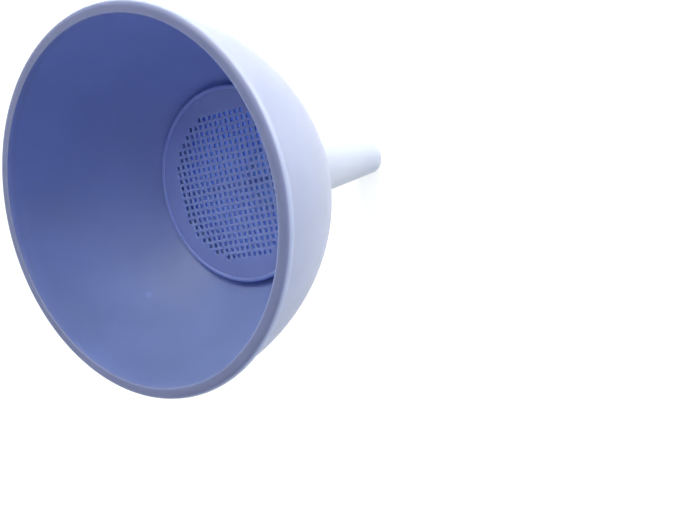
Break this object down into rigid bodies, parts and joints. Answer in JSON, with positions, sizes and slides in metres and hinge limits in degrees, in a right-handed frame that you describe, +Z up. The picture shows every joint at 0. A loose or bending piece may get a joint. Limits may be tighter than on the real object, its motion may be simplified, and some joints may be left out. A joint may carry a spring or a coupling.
{
  "type": "strainer funnel",
  "caption": "Kitchen funnel with a deep rounded bowl, rolled lip, tapered stem with an air-vent rib, and a lift-out square-mesh strainer plate inside.",
  "frame": {"origin": "centre of the circle where the bowl's outside meets the stem, the place that sits in a bottle's mouth", "axes": "+Z up the axis towards the mouth, the stem points to -Z; the vent rib is on the +Y side and the strainer's rows of holes run along X and Y"},
  "size_m": [0.15, 0.15, 0.1658],
  "materials": {
    "funnel_plastic": "semi-gloss moulded polypropylene",
    "strainer_plastic": "semi-gloss moulded polypropylene"
  },
  "bodies": {
    "funnel": {"funnel_bowl": "funnel_plastic", "funnel_stem": "funnel_plastic", "vent_rib": "funnel_plastic"},
    "strainer": {"strainer_plate": "strainer_plastic", "strainer_skirt": "strainer_plastic"}
  },
  "joints": [
    {"name": "strainer_lift", "type": "slide", "parent": "funnel", "child": "strainer", "axis": [0, 0, 1], "range_m": [0, 0.075]}
  ]
}
